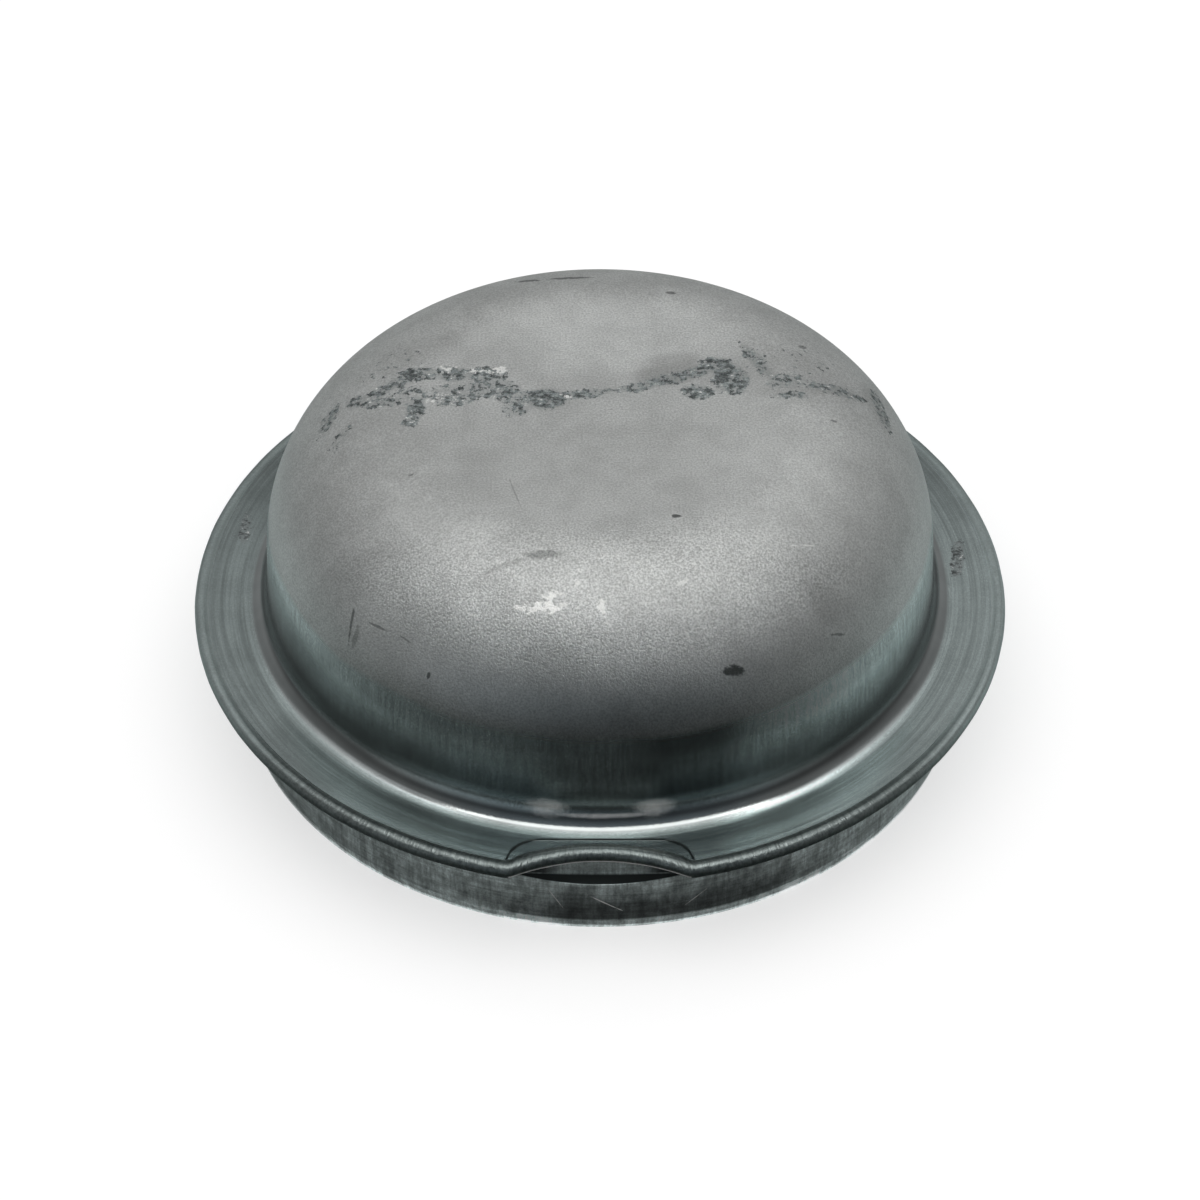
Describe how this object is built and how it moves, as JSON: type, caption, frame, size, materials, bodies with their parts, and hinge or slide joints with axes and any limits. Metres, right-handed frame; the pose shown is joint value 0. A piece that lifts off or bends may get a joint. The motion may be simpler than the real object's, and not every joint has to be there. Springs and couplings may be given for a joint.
{
  "type": "hub grease cap",
  "caption": "Round pressed-steel cap with a flat-topped dome, a folded flange with a pry notch, and a skirt that presses into a wheel hub's bore to keep grease in.",
  "frame": {"origin": "centre of the open rim, on the plane the cap stands on, on the skirt's axis", "axes": "+Z along the skirt's axis from the rim up to the crown, -Y through the middle of the pry notch"},
  "size_m": [0.08, 0.0791, 0.033],
  "materials": {
    "steel": "dull satin, as drawn, with rubbed and galled patches"
  },
  "bodies": {
    "root": {"grease_cap": "steel"}
  },
  "joints": []
}
